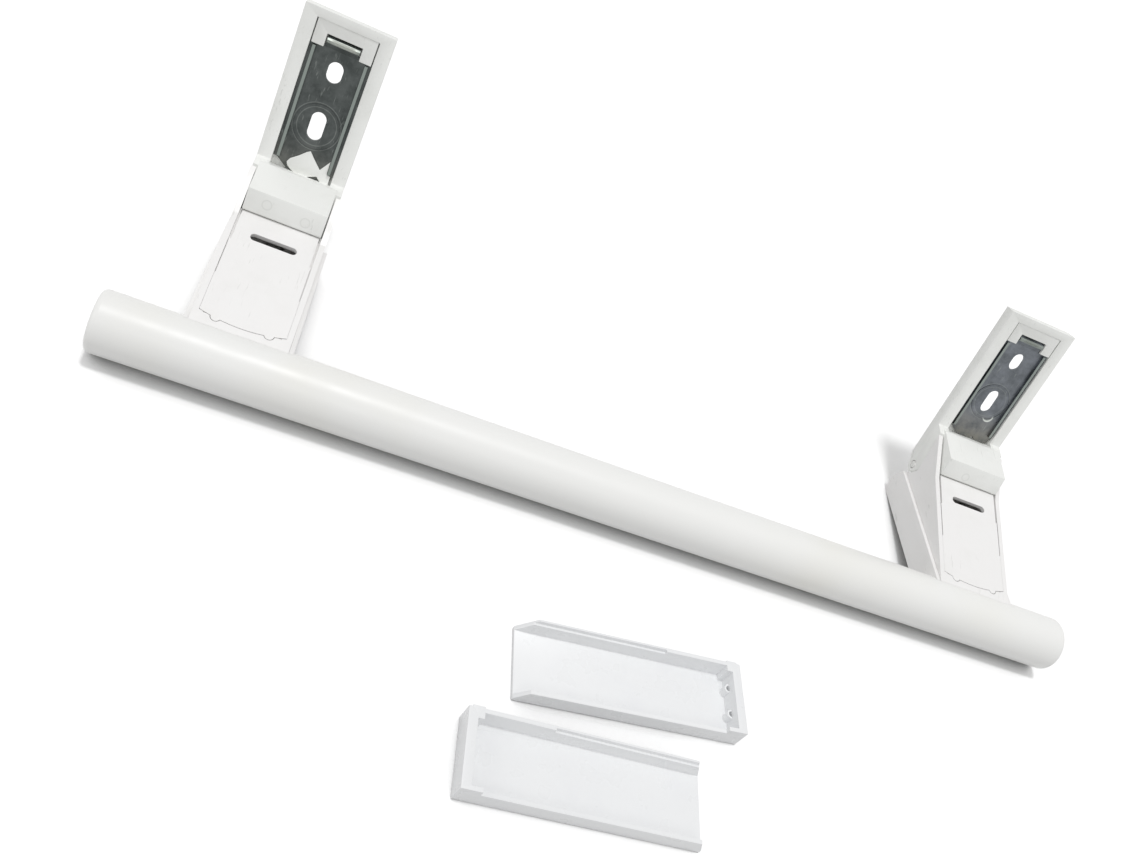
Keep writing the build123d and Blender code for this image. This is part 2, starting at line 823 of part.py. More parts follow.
def loose_cover(spot, turn, closed, slant, hooks):
    """Trough-shaped cover on its back; closed is -1 for the left end and 1 for the right."""
    half = cover_length / 2
    side_inner = cover_width / 2 - cover_wall
    swing = radians(turn)
    middle_x = spot[0] + half * cos(swing) - cover_width / 2 * sin(swing)
    middle_y = bar_y - spot[1] + half * sin(swing) + cover_width / 2 * cos(swing)
    lying = Plane(origin=(middle_x, middle_y, 0), x_dir=(cos(swing), sin(swing), 0), z_dir=(0, 0, 1))
    upright = Plane(origin=lying.origin, x_dir=lying.x_dir, z_dir=-lying.y_dir)
    with BuildPart() as cover:
        with BuildSketch(upright):
            with BuildLine():
                Polyline(
                    (closed * half, 0),
                    (closed * half, cover_height),
                    (-closed * (half - slant), cover_height),
                    (-closed * half, cover_wall),
                    (-closed * half, 0),
                    close=True,
                )
            make_face()
        extrude(amount=cover_width / 2, both=True)
        lengthwise = cover.edges().filter_by(Axis(lying.origin, lying.x_dir))
        fillet(lengthwise.group_by(Axis.Z)[0], cover_edge_radius)
        with BuildSketch(lying.offset(cover_wall)):
            with Locations((-closed * cover_end_wall, 0)):
                Rectangle(cover_length, 2 * side_inner)
        extrude(amount=cover_height, mode=Mode.SUBTRACT)
        # The front wall is lower, except beside the closed end
        with BuildSketch(lying.offset(cover_height - front_wall_drop)):
            with Locations((-closed * corner_length, -cover_width / 2)):
                Rectangle(cover_length, 3 * cover_wall)
        extrude(amount=cover_height, mode=Mode.SUBTRACT)
        # Ledge along the inside of the rear wall's top
        with BuildSketch(lying.offset(cover_height - ledge_drop)):
            with Locations((-closed * ledge_start, side_inner)):
                Rectangle(cover_length, 2 * ledge_depth)
        extrude(amount=cover_height, mode=Mode.SUBTRACT)
        # Thick corner of the closed end, then the snap hooks
        with BuildSketch(lying.offset(cover_wall)):
            with Locations((closed * (half - cover_end_wall), side_inner)):
                Rectangle(2 * corner_thickening, 2 * corner_thickening)
        extrude(amount=cover_height - cover_wall)
        with BuildSketch(lying.offset(cover_wall)):
            for place in hooks:
                with Locations((closed * (half - cover_end_wall), place)):
                    Circle(hook_radius)
                    Circle(hook_radius - hook_wall, mode=Mode.SUBTRACT)
        extrude(amount=hook_height)
    return cover.part


upper_hooks = (hook_spacing / 2, -hook_spacing / 2)
lower_hooks = (0,)
save(loose_cover(upper_cover_spot, upper_cover_turn, 1, upper_cover_slant, upper_hooks), "right_cover")
save(loose_cover(lower_cover_spot, lower_cover_turn, -1, lower_cover_slant, lower_hooks), "left_cover")
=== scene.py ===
import json
import math

import bmesh
import bpy
from mathutils import Matrix, Vector

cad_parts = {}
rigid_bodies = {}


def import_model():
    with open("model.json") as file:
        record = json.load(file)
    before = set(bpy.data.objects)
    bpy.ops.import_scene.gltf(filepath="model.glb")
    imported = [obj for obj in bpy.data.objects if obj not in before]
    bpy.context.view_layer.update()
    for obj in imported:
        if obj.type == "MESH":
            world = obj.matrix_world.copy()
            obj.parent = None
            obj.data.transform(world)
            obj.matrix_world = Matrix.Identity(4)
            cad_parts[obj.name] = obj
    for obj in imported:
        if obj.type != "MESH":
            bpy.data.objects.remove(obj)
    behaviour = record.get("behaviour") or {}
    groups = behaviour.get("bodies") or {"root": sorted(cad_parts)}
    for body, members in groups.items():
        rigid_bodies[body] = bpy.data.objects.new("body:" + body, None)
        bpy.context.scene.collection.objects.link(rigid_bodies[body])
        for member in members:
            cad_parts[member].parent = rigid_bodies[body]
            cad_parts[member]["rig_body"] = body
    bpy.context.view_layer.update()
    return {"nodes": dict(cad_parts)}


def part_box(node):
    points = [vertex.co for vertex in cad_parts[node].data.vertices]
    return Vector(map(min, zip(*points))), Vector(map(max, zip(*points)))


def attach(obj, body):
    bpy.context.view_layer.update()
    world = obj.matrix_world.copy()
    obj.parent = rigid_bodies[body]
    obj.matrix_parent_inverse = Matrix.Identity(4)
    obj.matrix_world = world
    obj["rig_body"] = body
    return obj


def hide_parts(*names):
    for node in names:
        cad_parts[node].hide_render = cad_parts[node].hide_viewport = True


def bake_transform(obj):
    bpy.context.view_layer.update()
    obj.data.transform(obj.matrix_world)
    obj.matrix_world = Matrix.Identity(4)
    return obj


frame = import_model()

mm = 0.001
sides = ("left", "right")
nodes = frame["nodes"]
barLow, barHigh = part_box("handle_bar")
barCentre = (barLow + barHigh) / 2
print("frame loaded,", len(nodes), "nodes")


def toLinear(hexColour):
    channels = [int(hexColour[i:i + 2], 16) / 255 for i in (0, 2, 4)]
    return (*[c / 12.92 if c <= 0.04045 else ((c + 0.055) / 1.055) ** 2.4 for c in channels], 1.0)


# Inputs go by name or number, or in the order of the node's sockets. A socket is linked, a value is set,
# and a list of sockets all goes into one input. What comes back is the output that take names.
def addNode(tree, kind, inputs=(), take=0, **settings):
    node = tree.nodes.new(kind)
    for name, value in settings.items():
        setattr(node, name, value)
    given = inputs if isinstance(inputs, dict) else dict(enumerate(inputs))
    for name, value in given.items():
        for source in value if isinstance(value, list) else [value]:
            if isinstance(source, bpy.types.NodeSocket):
                tree.links.new(source, node.inputs[name])
            else:
                node.inputs[name].default_value = source
    return node.outputs[take] if node.outputs else node


def newMaterial(name):
    material = bpy.data.materials.new(name)
    material.use_nodes = True
    material.node_tree.nodes.clear()
    return material, material.node_tree


# Nearly all of a noise's values lie between these two
noiseRange = (0.3, 0.7)


# Patterns lie in the object's own space, turned in degrees and stretched. Moulded skin, scuffs, scratches
# and tool marks are drawn coarser than real ones, so that they show at this distance.
def objectSpace(tree, turn=(0, 0, 0), stretch=(1, 1, 1)):
    place = addNode(tree, "ShaderNodeTexCoord", take="Object")
    turned = tuple(math.radians(a) for a in turn)
    return addNode(tree, "ShaderNodeMapping", {"Vector": place, "Rotation": turned, "Scale": stretch})


# 1 inside the inner distance from a place, falling to 0 at the outer one
def nearPoint(tree, space, place, innerMm, outerMm):
    away = addNode(tree, "ShaderNodeVectorMath", (space, place), "Value", operation="DISTANCE")
    return addNode(tree, "ShaderNodeMapRange", (away, innerMm * mm, outerMm * mm, 1, 0))


# A base leans back from its hinge: up runs along it, out comes from its front, both from the hinge
baseFrame = {
    "lean": math.radians(69), "acrossMm": {"left": -119.9, "right": 119.9}, "reachMm": 55.3, "heightMm": 13.8,
}
baseUp = (0, math.cos(baseFrame["lean"]), math.sin(baseFrame["lean"]))
baseOut = (0, -math.sin(baseFrame["lean"]), math.cos(baseFrame["lean"]))


def basePoint(side, across, up, out):
    reach = baseFrame["reachMm"] + up * baseUp[1] + out * baseOut[1]
    height = baseFrame["heightMm"] + up * baseUp[2] + out * baseOut[2]
    return ((baseFrame["acrossMm"][side] + across) * mm, barCentre.y + reach * mm, height * mm)


# White powder coat on the tube: satin, with a fine orange peel and faint yellowed patches
powderCoat = {
    "white": "F5F5F3", "yellowed": "F1F0EA", "patchMm": 38, "patchFrom": (0.52, 0.8), "yellowing": 0.7,
    "sheenMm": 9, "rough": (0.34, 0.44), "peelMm": 1.6, "peelDepthMm": 0.012, "ior": 1.5,
}


def makePowderCoat():
    look = powderCoat
    material, tree = newMaterial("satinWhitePowderCoat")
    space = objectSpace(tree)
    patches = addNode(tree, "ShaderNodeTexNoise", {
        "Vector": space, "Scale": 1 / (look["patchMm"] * mm), "Detail": 2})
    yellowing = addNode(tree, "ShaderNodeMapRange", (patches, *look["patchFrom"], 0, look["yellowing"]))
    colour = addNode(tree, "ShaderNodeMix", {
        0: yellowing, 6: toLinear(look["white"]), 7: toLinear(look["yellowed"])}, 2, data_type="RGBA")
    sheen = addNode(tree, "ShaderNodeTexNoise", {
        "Vector": space, "Scale": 1 / (look["sheenMm"] * mm), "Detail": 3})
    rough = addNode(tree, "ShaderNodeMapRange", (sheen, *noiseRange, *look["rough"]))
    peel = addNode(tree, "ShaderNodeTexNoise", {
        "Vector": space, "Scale": 1 / (look["peelMm"] * mm), "Detail": 2})
    normal = addNode(tree, "ShaderNodeBump", {
        "Height": peel, "Strength": 1.0, "Distance": look["peelDepthMm"] * mm})
    shader = addNode(tree, "ShaderNodeBsdfPrincipled", {
        "Base Color": colour, "Roughness": rough, "Normal": normal, "IOR": look["ior"]})
    addNode(tree, "ShaderNodeOutputMaterial", {"Surface": shader})
    return material


# Injection moulded ABS: white, half gloss, soiled in clouds and scuffed in short fine lines.
# The block fronts also carry the round marks of the mould's ejector pins: side, across and up in mm.
mouldedAbs = {
    "lever": {"name": "halfGlossWhiteAbs", "white": "F5F4F3", "soiled": "EEEDEB", "scuffed": "CFCFCB",
              "rough": (0.30, 0.46), "skinMm": 0.003, "scuffs": 0.35, "pinMarks": ()},
    "base": {"name": "plainMouldedWhiteAbs", "white": "F5F6F3", "soiled": "E9EAE6", "scuffed": "C9CBC6",
             "rough": (0.42, 0.56), "skinMm": 0.004, "scuffs": 0.4,
             "pinMarks": (("left", -5.3, 8.8), ("left", 6.0, 7.9), ("right", -2.7, 7.5))},
    "cover": {"name": "polishedMouldWhiteAbs", "white": "F1F2F3", "soiled": "EEEFF1", "scuffed": "E0E2E4",
              "rough": (0.26, 0.32), "skinMm": 0.0005, "scuffs": 0.05, "pinMarks": ()},
}
absPattern = {
    "cloudMm": 14, "cloudFrom": (0.5, 0.78), "soiling": 0.8,
    "scuffMm": 0.7, "scuffTurn": (20, 35, 50), "scuffStretch": (1, 0.1, 0.35), "scuffFrom": (0.62, 0.7),
    "scuffPatchMm": 9, "patchFrom": (0.5, 0.62), "sheenMm": 6, "skinMm": 0.6, "ior": 1.54,
}
pinMark = {"out": 14.4, "radiusMm": 1.5, "edgeMm": 0.5, "softMm": (0.1, 0.15), "strength": 0.3}


def makePinMark(tree, space, side, across, up):
    place = basePoint(side, across, up, pinMark["out"])
    radius = pinMark["radiusMm"]
    outerSoft, innerSoft = pinMark["softMm"]
    whole = nearPoint(tree, space, place, radius - outerSoft, radius + outerSoft)
    inside = nearPoint(tree, space, place, radius - pinMark["edgeMm"], radius - innerSoft)
    edge = addNode(tree, "ShaderNodeMath", (whole, inside), operation="SUBTRACT", use_clamp=True)
    return addNode(tree, "ShaderNodeMath", (edge, pinMark["strength"]), operation="MULTIPLY")


def makeMouldedAbs(kind):
    look = mouldedAbs[kind]
    pattern = absPattern
    material, tree = newMaterial(look["name"])
    space = objectSpace(tree)
    clouds = addNode(tree, "ShaderNodeTexNoise", {
        "Vector": space, "Scale": 1 / (pattern["cloudMm"] * mm), "Detail": 4, "Roughness": 0.6})
    soil = addNode(tree, "ShaderNodeMapRange", (clouds, *pattern["cloudFrom"], 0, pattern["soiling"]))
    colour = addNode(tree, "ShaderNodeMix", {
        0: soil, 6: toLinear(look["white"]), 7: toLinear(look["soiled"])}, 2, data_type="RGBA")
    lines = addNode(tree, "ShaderNodeTexNoise", {
        "Vector": objectSpace(tree, pattern["scuffTurn"], pattern["scuffStretch"]),
        "Scale": 1 / (pattern["scuffMm"] * mm), "Detail": 2, "Roughness": 0.6})
    lineMask = addNode(tree, "ShaderNodeMapRange", (lines, *pattern["scuffFrom"], 0, 1))
    patches = addNode(tree, "ShaderNodeTexNoise", {
        "Vector": space, "Scale": 1 / (pattern["scuffPatchMm"] * mm), "Detail": 2})
    patchMask = addNode(tree, "ShaderNodeMapRange", (patches, *pattern["patchFrom"], 0, look["scuffs"]))
    dull = addNode(tree, "ShaderNodeMath", (lineMask, patchMask), operation="MULTIPLY")
    for side, across, up in look["pinMarks"]:
        mark = makePinMark(tree, space, side, across, up)
        dull = addNode(tree, "ShaderNodeMath", (dull, mark), operation="MAXIMUM")
    colour = addNode(tree, "ShaderNodeMix", {
        0: dull, 6: colour, 7: toLinear(look["scuffed"])}, 2, data_type="RGBA")
    sheen = addNode(tree, "ShaderNodeTexNoise", {
        "Vector": space, "Scale": 1 / (pattern["sheenMm"] * mm), "Detail": 3})
    rough = addNode(tree, "ShaderNodeMapRange", (sheen, *noiseRange, *look["rough"]))
    skin = addNode(tree, "ShaderNodeTexNoise", {
        "Vector": space, "Scale": 1 / (pattern["skinMm"] * mm), "Detail": 2})
    normal = addNode(tree, "ShaderNodeBump", {
        "Height": skin, "Strength": 1.0, "Distance": look["skinMm"] * mm})
    shader = addNode(tree, "ShaderNodeBsdfPrincipled", {
        "Base Color": colour, "Roughness": rough, "Normal": normal, "IOR": pattern["ior"]})
    addNode(tree, "ShaderNodeOutputMaterial", {"Surface": shader})
    return material


# Zinc plated sheet steel, pressed and never polished: dull grey, greenish on the left and bluish on the
# right, with the right plate's lighter tone painted light; mottled, paler and browner at the lower end, with
# painted highlights along the ribs, a pale painted reflection on the lip, and two painted highlight rings
# round the long slot
zincPlate = {
    # The right plate's lighter tones below are painted light: both plates are the same metal
    "dark": {"left": "434746", "right": "5A5E61"}, "mid": {"left": "5E6261", "right": "7B7F85"},
    "mottleMm": 5, "mottleFrom": (0.35, 0.7), "rough": (0.36, 0.54), "dentMm": 0.03, "mottleBand": (0.3, 0.6),
    # The lower-end colour makes each plate paler and browner towards its lower end
    "lower": "8A8880", "lowerEndUp": (17.0, 27.0),
    "leastLowerAmount": 0.1, "lowerAmount": {"left": 0.3, "right": 0.9},
    "pale": "9CA19D", "scratchMm": 0.9, "scratchTurn": (0, 0, 31), "scratchStretch": (1, 0.06, 0.2),
    "scratchFrom": (0.62, 0.72), "scratches": 0.3,
    # The two circles below are painted highlight lines round the long slot
    "ringUp": 30.8, "highlightRingMm": (5.6, 6.9), "highlightLineMm": 0.2, "highlightStrength": 0.4, "leastHighlight": 0.4,
    # The rib colour and its strength below paint highlights along the ribs
    "frontOut": -1.48, "ribHighlight": "8F9792", "ribOut": (-0.75, -0.55), "ribHighlightStrength": 0.75,
    # The lip colours paint a pale reflection, paler on the left
    "lip": {"left": "B4B7B1", "right": "8E938E"}, "lipUp": 55.6, "lipOut": -0.5, "lipMm": (2.6, 5.2),
    "lipRough": 0.75,
}
# One painted highlight beside the right long slot's lower end, a bright crescent: a disc less a second,
# shifted one
crescent = {"colour": "CDD1CC", "discAt": (2.9, -5.4), "lessAt": (2.6, -4.85), "radiusMm": (1.7, 2.0)}


# Paler where the metal is scratched, and along two painted highlight circles round the long slot
def makePaleMask(tree, space, side, mottle):
    look = zincPlate
    scratchSpace = objectSpace(tree, look["scratchTurn"], look["scratchStretch"])
    scratches = addNode(tree, "ShaderNodeTexNoise", {
        "Vector": scratchSpace, "Scale": 1 / (look["scratchMm"] * mm), "Detail": 2, "Roughness": 0.7})
    pale = addNode(tree, "ShaderNodeMapRange", (scratches, *look["scratchFrom"], 0, look["scratches"]))
    # The circles' lines are painted highlights, faded in patches by the mottle
    highlightFade = addNode(tree, "ShaderNodeMapRange", (mottle, *look["mottleBand"], look["leastHighlight"], 1))
    centre = basePoint(side, 0, look["ringUp"], look["frontOut"])
    away = addNode(tree, "ShaderNodeVectorMath", (space, centre), "Value", operation="DISTANCE")
    for radius in look["highlightRingMm"]:
        past = addNode(tree, "ShaderNodeMath", (away, radius * mm), operation="SUBTRACT")
        off = addNode(tree, "ShaderNodeMath", (past,), operation="ABSOLUTE")
        line = addNode(tree, "ShaderNodeMapRange", (
            off, 0, look["highlightLineMm"] * mm, look["highlightStrength"], 0))
        ring = addNode(tree, "ShaderNodeMath", (line, highlightFade), operation="MULTIPLY")
        pale = addNode(tree, "ShaderNodeMath", (pale, ring), operation="MAXIMUM")
    return pale


def makeZincPlate(side):
    look = zincPlate
    material, tree = newMaterial("dullZincPlatedSteel" + side.capitalize())
    space = objectSpace(tree)
    mottle = addNode(tree, "ShaderNodeTexNoise", {
        "Vector": space, "Scale": 1 / (look["mottleMm"] * mm), "Detail": 4, "Roughness": 0.65})
    tone = addNode(tree, "ShaderNodeMapRange", (mottle, *look["mottleFrom"], 0, 1))
    # Each side's own tones: the right plate is painted lighter, as painted light
    colour = addNode(tree, "ShaderNodeMix", {
        0: tone, 6: toLinear(look["dark"][side]), 7: toLinear(look["mid"][side])}, 2, data_type="RGBA")
    # How far up the base and out of its front each point is
    hinge = basePoint(side, 0, 0, 0)
    fromHinge = addNode(tree, "ShaderNodeVectorMath", (space, hinge), operation="SUBTRACT")
    up = addNode(tree, "ShaderNodeVectorMath", (fromHinge, baseUp), "Value", operation="DOT_PRODUCT")
    out = addNode(tree, "ShaderNodeVectorMath", (fromHinge, baseOut), "Value", operation="DOT_PRODUCT")
    # Paler and browner towards each plate's lower end, more so on the right
    lowEnd, highEnd = (u * mm for u in look["lowerEndUp"])
    atLowerEnd = addNode(tree, "ShaderNodeMapRange", (up, lowEnd, highEnd, 1, 0))
    lowerMottle = addNode(tree, "ShaderNodeMapRange", (
        mottle, *look["mottleBand"], look["leastLowerAmount"], look["lowerAmount"][side]))
    lower = addNode(tree, "ShaderNodeMath", (atLowerEnd, lowerMottle), operation="MULTIPLY")
    colour = addNode(tree, "ShaderNodeMix", {
        0: lower, 6: colour, 7: toLinear(look["lower"])}, 2, data_type="RGBA")
    pale = makePaleMask(tree, space, side, mottle)
    colour = addNode(tree, "ShaderNodeMix", {
        0: pale, 6: colour, 7: toLinear(look["pale"])}, 2, data_type="RGBA")
    # Painted highlights along the tops of the raised ribs
    ribFoot, ribTop = (o * mm for o in look["ribOut"])
    raised = addNode(tree, "ShaderNodeMapRange", (out, ribFoot, ribTop, 0, 1))
    ribHighlight = addNode(tree, "ShaderNodeMath", (raised, look["ribHighlightStrength"]), operation="MULTIPLY")
    colour = addNode(tree, "ShaderNodeMix", {
        0: ribHighlight, 6: colour, 7: toLinear(look["ribHighlight"])}, 2, data_type="RGBA")
    # A painted pale reflection on the lip
    atLip = nearPoint(tree, space, basePoint(side, 0, look["lipUp"], look["lipOut"]), *look["lipMm"])
    lip = addNode(tree, "ShaderNodeMath", (atLip, raised), operation="MULTIPLY")
    colour = addNode(tree, "ShaderNodeMix", {
        0: lip, 6: colour, 7: toLinear(look["lip"][side])}, 2, data_type="RGBA")
    # The crescent on the right plate is a painted highlight
    if side == "right":
        discs = []
        for across, fromRing in (crescent["discAt"], crescent["lessAt"]):
            place = basePoint(side, across, look["ringUp"] + fromRing, look["frontOut"])
            discs.append(nearPoint(tree, space, place, *crescent["radiusMm"]))
        bright = addNode(tree, "ShaderNodeMath", discs, operation="SUBTRACT", use_clamp=True)
        colour = addNode(tree, "ShaderNodeMix", {
            0: bright, 6: colour, 7: toLinear(crescent["colour"])}, 2, data_type="RGBA")
    plain = addNode(tree, "ShaderNodeMapRange", (mottle, *noiseRange, *look["rough"]))
    dull = addNode(tree, "ShaderNodeMath", (lip, look["lipRough"]), operation="MULTIPLY")
    rough = addNode(tree, "ShaderNodeMath", (dull, plain), operation="MAXIMUM")
    dents = addNode(tree, "ShaderNodeBump", {
        "Height": mottle, "Strength": 1.0, "Distance": look["dentMm"] * mm})
    shader = addNode(tree, "ShaderNodeBsdfPrincipled", {
        "Base Color": colour, "Roughness": rough, "Normal": dents, "Metallic": 1.0})
    addNode(tree, "ShaderNodeOutputMaterial", {"Surface": shader})
    return material


# Drawn spring wire and turned pins are bright steel with fine lines along the work. Turned brass is warm
# yellow with tool marks round the axis.
bareMetals = {
    "steel": {"name": "drawnBrightSteel", "colour": "C9C9C6", "mark": "B2B3B1", "markMm": 0.35,
              "stretch": (0.08, 1, 1), "rough": (0.24, 0.38)},
    "brass": {"name": "turnedBrass", "colour": "D0AC62", "mark": "BE9850", "markMm": 0.4,
              "stretch": (1, 1, 1), "rough": (0.26, 0.4)},
}


def makeBareMetal(kind):
    look = bareMetals[kind]
    material, tree = newMaterial(look["name"])
    noise = addNode(tree, "ShaderNodeTexNoise", {
        "Vector": objectSpace(tree, stretch=look["stretch"]), "Scale": 1 / (look["markMm"] * mm),
        "Detail": 2})
    marks = addNode(tree, "ShaderNodeMapRange", (noise, *noiseRange, 0, 1))
    colour = addNode(tree, "ShaderNodeMix", {
        0: marks, 6: toLinear(look["colour"]), 7: toLinear(look["mark"])}, 2, data_type="RGBA")
    rough = addNode(tree, "ShaderNodeMapRange", (marks, 0, 1, *look["rough"]))
    shader = addNode(tree, "ShaderNodeBsdfPrincipled", {
        "Base Color": colour, "Roughness": rough, "Metallic": 1.0})
    addNode(tree, "ShaderNodeOutputMaterial", {"Surface": shader})
    return material


paint = makePowderCoat()
leverAbs = makeMouldedAbs("lever")
baseAbs = makeMouldedAbs("base")
coverAbs = makeMouldedAbs("cover")
zinc = {side: makeZincPlate(side) for side in sides}
steel = makeBareMetal("steel")
brass = makeBareMetal("brass")
print("materials made")


def dress(piece, material):
    piece.data.materials.clear()
    piece.data.materials.append(material)


def linked(name, data):
    piece = bpy.data.objects.new(name, data)
    bpy.context.scene.collection.objects.link(piece)
    return piece


def asPlainMesh(piece):
    shown = piece.evaluated_get(bpy.context.evaluated_depsgraph_get())
    mesh = bpy.data.meshes.new_from_object(shown)
    piece.modifiers.clear()
    piece.data = mesh


def finish(piece, nodeName, material):
    dress(piece, material)
    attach(piece, nodes[nodeName]["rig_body"])
    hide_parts(nodeName)


# Where two faces turn by more than this many degrees, their edge is a real one
sharpestTurn = 30

# A copy of the frame's node with its doubles merged, and its flat faces joined where its edges get rounded
merging = {"closerThanMm": 0.001, "flatDegrees": 0.6}


def mergedCopy(nodeName, pieceName, joinFlats, smooth):
    work = bmesh.new()
    work.from_mesh(nodes[nodeName].data)
    bmesh.ops.remove_doubles(work, verts=work.verts, dist=merging["closerThanMm"] * mm)
    if joinFlats:
        flat = math.radians(merging["flatDegrees"])
        bmesh.ops.dissolve_limit(work, angle_limit=flat, verts=work.verts, edges=work.edges)
    mesh = bpy.data.meshes.new(nodeName + "Merged")
    work.to_mesh(mesh)
    work.free()
    for face in mesh.polygons:
        face.use_smooth = smooth
    return linked(pieceName, mesh)


def roundEdges(piece, radiusMm, segments):
    bevel = piece.modifiers.new("edge", "BEVEL")
    bevel.width = radiusMm * mm
    bevel.segments = segments
    bevel.limit_method = "ANGLE"
    bevel.angle_limit = math.radians(sharpestTurn)
    bevel.miter_outer = "MITER_ARC"
    bevel.harden_normals = True
    asPlainMesh(piece)


# What is moulded or pressed, with the radius that its edges have. A radius of 0 leaves them sharp,
# because a bevel leaves folds round the narrow slots of these pieces.
moulded = {
    "lever_shell": {"edgeMm": 0.45, "segments": 3, "material": leverAbs, "slot": "white_plastic"},
    "lever_core": {"edgeMm": 0, "segments": 0, "material": leverAbs, "slot": "white_plastic"},
    "lever_panel": {"edgeMm": 0, "segments": 0, "material": leverAbs, "slot": "white_plastic"},
    "base_housing": {"edgeMm": 0.25, "segments": 2, "material": baseAbs, "slot": "base_plastic"},
    "mounting_plate": {"edgeMm": 0, "segments": 0, "material": zinc, "slot": "plate_steel"},
    "cover": {"edgeMm": 0.3, "segments": 3, "material": coverAbs, "slot": "cover_plastic"},
}
for side in sides:
    for kind, look in moulded.items():
        nodeName = f"{side}_{kind}"
        isRounded = look["edgeMm"] > 0
        material = look["material"][side] if kind == "mounting_plate" else look["material"]
        piece = mergedCopy(nodeName, f"{side}.{kind}", isRounded, isRounded)
        if isRounded:
            roundEdges(piece, look["edgeMm"], look["segments"])
        finish(piece, nodeName, material)
print("moulded and pressed pieces rounded")

# Pieces whose CAD shape is right as it is
carried = {"bar_cap": paint, "hinge_pin": steel, "bar_insert": brass}
for side in sides:
    for kind, material in carried.items():
        dress(nodes[f"{side}_{kind}"], material)
print("carried nodes dressed")


def makeReturnSpring(side):
    nodeName = f"{side}_return_spring"
    piece = mergedCopy(nodeName, f"{side}.returnSpring", False, True)
    piece.data.set_sharp_from_angle(angle=math.radians(sharpestTurn))
    dress(piece, steel)
    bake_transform(piece)
    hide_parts(nodeName)


for side in sides:
    makeReturnSpring(side)

# The tube and the screws' threads follow a rule, so Geometry Nodes make them. Both screws stand in the tube's
# wall, tilted up from the level towards the bases.
tube = {
    "lengthMm": 304.0, "radiusMm": 8.7, "wallMm": 1.8, "around": 192,
    "insertRadiusMm": 2.52, "insertAround": 48, "insertTilt": 14.0, "slot": "bar_paint",
}
screw = {
    "coreRadiusMm": 1.42, "threadRadiusMm": 1.7, "pitchMm": 0.6, "tipMm": 2.4, "seatMm": 12.62,
    "headRadiusMm": 2.9, "headMm": 2.4, "driveRadiusMm": 1.443, "driveMm": 1.4,
    "coreAround": 48, "headAround": 64, "driveSides": 6, "slot": "bright_steel",
}


def nodeTree(name, inputs):
    tree = bpy.data.node_groups.new(name, "GeometryNodeTree")
    tree.is_modifier = True
    for label in inputs:
        tree.interface.new_socket(label, in_out="INPUT", socket_type="NodeSocketFloat")
    tree.interface.new_socket("Geometry", in_out="OUTPUT", socket_type="NodeSocketGeometry")
    return tree, addNode(tree, "NodeGroupInput").node.outputs


def closeTree(tree, geometry, material):
    whole = addNode(tree, "GeometryNodeRealizeInstances", {"Geometry": geometry})
    dressed = addNode(tree, "GeometryNodeSetMaterial", {"Geometry": whole, "Material": material})
    addNode(tree, "NodeGroupOutput", {"Geometry": dressed})


def fromTree(name, tree, values):
    piece = linked(name, bpy.data.meshes.new(name))
    made = piece.modifiers.new("tree", "NODES")
    made.node_group = tree
    for socket in tree.interface.items_tree:
        if socket.in_out == "INPUT":
            made[socket.identifier] = float(values[socket.name])
    asPlainMesh(piece)
    piece.data.set_sharp_from_angle(angle=math.radians(sharpestTurn))
    return piece


# A ring of wall carried round a circle, less the two insert holes
def tubeTree():
    tree, given = nodeTree("coatedTube", ("Length", "Radius", "Wall", "Spacing", "Hole Radius", "Tilt"))
    halfWall = addNode(tree, "ShaderNodeMath", (given["Wall"], 0.5), operation="MULTIPLY")
    middle = addNode(tree, "ShaderNodeMath", (given["Radius"], halfWall), operation="SUBTRACT")
    path = addNode(tree, "GeometryNodeCurvePrimitiveCircle", {"Resolution": tube["around"], "Radius": middle})
    wall = addNode(tree, "GeometryNodeCurvePrimitiveQuadrilateral", (given["Wall"], given["Length"]))
    ring = addNode(tree, "GeometryNodeCurveToMesh", {"Curve": path, "Profile Curve": wall})
    smooth = addNode(tree, "GeometryNodeSetShadeSmooth", {"Geometry": ring})
    level = addNode(tree, "GeometryNodeTransform", {"Geometry": smooth, "Rotation": (0, math.pi / 2, 0)})

    diameter = addNode(tree, "ShaderNodeMath", (given["Radius"], 2), operation="MULTIPLY")
    hole = addNode(tree, "GeometryNodeMeshCylinder", {
        "Vertices": tube["insertAround"], "Radius": given["Hole Radius"], "Depth": diameter})
    rise = addNode(tree, "ShaderNodeCombineXYZ", {"Z": given["Radius"]})
    raised = addNode(tree, "GeometryNodeTransform", {"Geometry": hole, "Translation": rise})
    tilt = addNode(tree, "ShaderNodeCombineXYZ", {"X": given["Tilt"]})
    tilted = addNode(tree, "GeometryNodeTransform", {"Geometry": raised, "Rotation": tilt})
    firstX = addNode(tree, "ShaderNodeMath", (given["Spacing"], -0.5), operation="MULTIPLY")
    first = addNode(tree, "ShaderNodeCombineXYZ", {"X": firstX})
    step = addNode(tree, "ShaderNodeCombineXYZ", {"X": given["Spacing"]})
    spots = addNode(tree, "GeometryNodeMeshLine", {
        "Count": len(sides), "Start Location": first, "Offset": step})
    copies = addNode(tree, "GeometryNodeInstanceOnPoints", {"Points": spots, "Instance": tilted})
    holes = addNode(tree, "GeometryNodeRealizeInstances", {"Geometry": copies})

    cut = addNode(tree, "GeometryNodeMeshBoolean", {"Mesh 1": level, "Mesh 2": holes}, "Mesh",
                  operation="DIFFERENCE", solver="EXACT")
    placed = addNode(tree, "GeometryNodeTransform", {"Geometry": cut, "Translation": tuple(barCentre)})
    closeTree(tree, placed, paint)
    return tree


